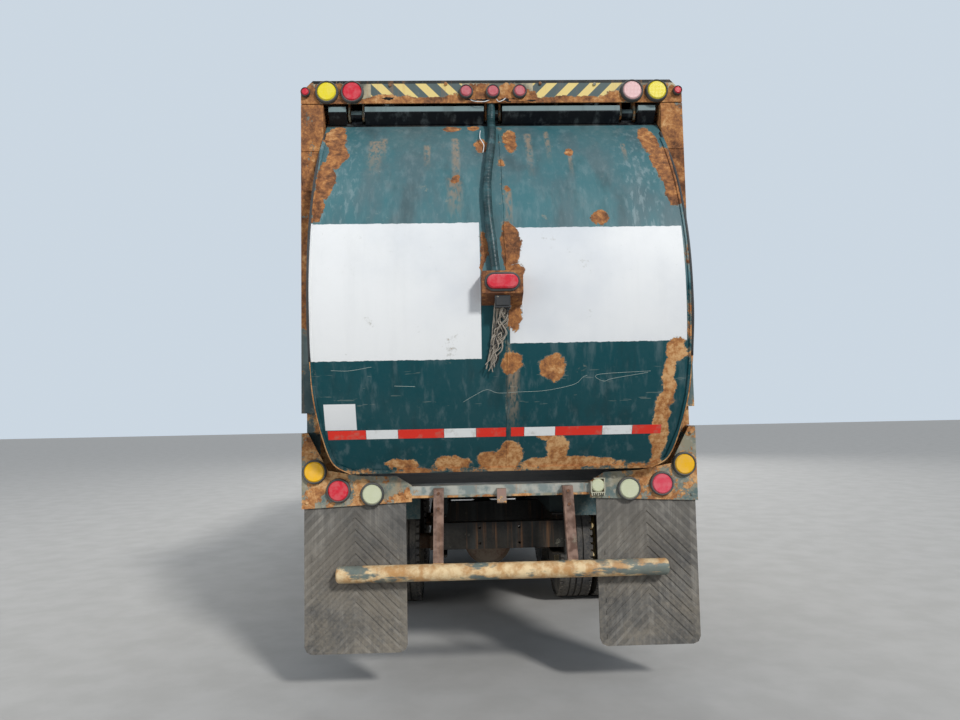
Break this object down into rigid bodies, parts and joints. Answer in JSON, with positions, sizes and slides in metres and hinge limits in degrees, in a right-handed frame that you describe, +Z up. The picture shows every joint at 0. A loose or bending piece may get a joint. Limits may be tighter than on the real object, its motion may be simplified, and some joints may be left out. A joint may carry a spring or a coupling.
{
  "type": "front-loading garbage truck",
  "caption": "Worn garbage truck with a bulging top-hinged tailgate, packing hopper and front lift arms over a low cab",
  "frame": {"origin": "on the ground under the middle of the truck", "axes": "+Y to the truck's front, +X to its right, +Z up"},
  "size_m": [2.44, 10.6287, 3.83],
  "materials": {
    "body_green": "weathered paint, satin",
    "frame_black": "matte paint",
    "rusty_steel": "rusted paint, rough",
    "cream_paint": "satin paint",
    "cast_steel": "rough",
    "bright_steel": "polished",
    "tank_metal": "dull",
    "tyre_rubber": "matte",
    "flap_rubber": "dusty matte",
    "window_glass": "clear",
    "red_lens": "gloss",
    "amber_lens": "gloss",
    "clear_lens": "gloss",
    "seat_cloth": "worn",
    "dash_plastic": "matte",
    "conduit_tape": "taped"
  },
  "bodies": {
    "chassis": {"frame_rails": "frame_black", "rear_axles": "cast_steel", "front_axle": "cast_steel", "driveline": "cast_steel", "tanks": "tank_metal", "body_floor": "body_green", "body_sides": "body_green", "body_roof": "body_green", "hopper": "body_green", "rear_frame": "rusty_steel", "light_bar": "rusty_steel", "rear_sill": "rusty_steel", "underride_guard": "rusty_steel", "fenders": "body_green", "mudflaps": "flap_rubber", "ladder": "body_green", "cab_shell": "cream_paint", "cab_glass": "window_glass", "front_bumper": "frame_black", "grille": "frame_black", "seats": "seat_cloth", "dashboard": "dash_plastic", "mirrors": "frame_black", "exhaust_stack": "bright_steel", "red_lamps": "red_lens", "amber_lamps": "amber_lens", "clear_lamps": "clear_lens"},
    "tailgate": {"tailgate_shell": "body_green", "tailgate_lamp_box": "rusty_steel", "tailgate_lamp": "red_lens", "tailgate_conduit": "conduit_tape"},
    "packer": {"packer_panel": "rusty_steel"},
    "arms": {"lift_arms": "body_green"},
    "fork_frame": {"forks": "rusty_steel"},
    "lift_barrels": {"lift_cylinder_barrels": "frame_black"},
    "lift_rods": {"lift_cylinder_rods": "bright_steel"},
    "fork_barrels": {"fork_cylinder_barrels": "frame_black"},
    "fork_rods": {"fork_cylinder_rods": "bright_steel"},
    "gate_barrels": {"tailgate_cylinder_barrels": "frame_black"},
    "gate_rods": {"tailgate_cylinder_rods": "bright_steel"},
    "steering_left": {"knuckle_left": "cast_steel"},
    "cab_door_left": {"door_left": "cream_paint", "door_glass_left": "window_glass"},
    "front_wheel_left": {"front_rim_left": "cream_paint", "front_tyre_left": "tyre_rubber"},
    "middle_wheel_left": {"middle_rims_left": "cream_paint", "middle_tyres_left": "tyre_rubber"},
    "rear_wheel_left": {"rear_rims_left": "cream_paint", "rear_tyres_left": "tyre_rubber"},
    "steering_right": {"knuckle_right": "cast_steel"},
    "cab_door_right": {"door_right": "cream_paint", "door_glass_right": "window_glass"},
    "front_wheel_right": {"front_rim_right": "cream_paint", "front_tyre_right": "tyre_rubber"},
    "middle_wheel_right": {"middle_rims_right": "cream_paint", "middle_tyres_right": "tyre_rubber"},
    "rear_wheel_right": {"rear_rims_right": "cream_paint", "rear_tyres_right": "tyre_rubber"}
  },
  "joints": [
    {"name": "tailgate_hinge", "type": "hinge", "parent": "chassis", "child": "tailgate", "pos_m": [0, -4.653, 3.64], "axis": [-1, 0, 0], "range_deg": [0, 80]},
    {"name": "gate_cylinder_tilt", "type": "hinge", "parent": "chassis", "child": "gate_barrels", "pos_m": [0, -3.503, 3.735], "axis": [-1, 0, 0], "range_deg": [-2.23, 0]},
    {"name": "gate_cylinder_stroke", "type": "slide", "parent": "gate_barrels", "child": "gate_rods", "axis": [0, -0.9998, 0.0204], "range_m": [-0.16399, 0]},
    {"name": "packer_slide", "type": "slide", "parent": "chassis", "child": "packer", "axis": [0, -1, 0], "range_m": [0, 1.7]},
    {"name": "arm_lift", "type": "hinge", "parent": "chassis", "child": "arms", "pos_m": [0, 2.117, 1.8], "axis": [1, 0, 0], "range_deg": [0, 105]},
    {"name": "lift_cylinder_tilt", "type": "hinge", "parent": "chassis", "child": "lift_barrels", "pos_m": [0, 0.547, 1.36], "axis": [1, 0, 0], "range_deg": [-4.09, 0]},
    {"name": "lift_cylinder_stroke", "type": "slide", "parent": "lift_barrels", "child": "lift_rods", "axis": [0, 0.9871, 0.1603], "range_m": [0, 0.65735]},
    {"name": "fork_tilt", "type": "hinge", "parent": "arms", "child": "fork_frame", "pos_m": [0, 5.152, 0.95], "axis": [-1, 0, 0], "range_deg": [0, 104]},
    {"name": "fork_cylinder_tilt", "type": "hinge", "parent": "arms", "child": "fork_barrels", "pos_m": [0, 5.212, 2.35], "axis": [-1, 0, 0], "range_deg": [0, 1.04]},
    {"name": "fork_cylinder_stroke", "type": "slide", "parent": "fork_barrels", "child": "fork_rods", "axis": [0, 0.0549, -0.9985], "range_m": [0, 0.31419]},
    {"name": "steer_left", "type": "hinge", "parent": "chassis", "child": "steering_left", "pos_m": [-0.85, 3.047, 0.54], "axis": [0, 0, 1], "range_deg": [-30, 30]},
    {"name": "front_wheel_left_spin", "type": "hinge", "parent": "steering_left", "child": "front_wheel_left", "pos_m": [-1.03, 3.047, 0.54], "axis": [-1, 0, 0], "continuous": true},
    {"name": "door_left_hinge", "type": "hinge", "parent": "chassis", "child": "cab_door_left", "pos_m": [-1.072, 4.539, 1.435], "axis": [0, 0, -1], "range_deg": [0, 75]},
    {"name": "rear_wheel_left_spin", "type": "hinge", "parent": "chassis", "child": "rear_wheel_left", "pos_m": [-0.9155, -2.403, 0.525], "axis": [-1, 0, 0], "continuous": true},
    {"name": "middle_wheel_left_spin", "type": "hinge", "parent": "chassis", "child": "middle_wheel_left", "pos_m": [-0.9155, -1.053, 0.525], "axis": [-1, 0, 0], "continuous": true},
    {"name": "steer_right", "type": "hinge", "parent": "chassis", "child": "steering_right", "pos_m": [0.85, 3.047, 0.54], "axis": [0, 0, 1], "range_deg": [-30, 30]},
    {"name": "front_wheel_right_spin", "type": "hinge", "parent": "steering_right", "child": "front_wheel_right", "pos_m": [1.03, 3.047, 0.54], "axis": [-1, 0, 0], "continuous": true},
    {"name": "door_right_hinge", "type": "hinge", "parent": "chassis", "child": "cab_door_right", "pos_m": [1.072, 4.539, 1.435], "axis": [0, 0, 1], "range_deg": [0, 75]},
    {"name": "rear_wheel_right_spin", "type": "hinge", "parent": "chassis", "child": "rear_wheel_right", "pos_m": [0.9155, -2.403, 0.525], "axis": [-1, 0, 0], "continuous": true},
    {"name": "middle_wheel_right_spin", "type": "hinge", "parent": "chassis", "child": "middle_wheel_right", "pos_m": [0.9155, -1.053, 0.525], "axis": [-1, 0, 0], "continuous": true}
  ],
  "couplings": [
    {"joint": "gate_cylinder_tilt", "follows": "tailgate_hinge", "ratio": -0.027886},
    {"joint": "gate_cylinder_stroke", "follows": "tailgate_hinge", "m_per_rad": -0.11745},
    {"joint": "lift_cylinder_tilt", "follows": "arm_lift", "ratio": -0.038938},
    {"joint": "lift_cylinder_stroke", "follows": "arm_lift", "m_per_rad": 0.3587},
    {"joint": "fork_cylinder_tilt", "follows": "fork_tilt", "ratio": 0.009969},
    {"joint": "fork_cylinder_stroke", "follows": "fork_tilt", "m_per_rad": 0.17309},
    {"joint": "steer_right", "follows": "steer_left", "ratio": 1}
  ]
}
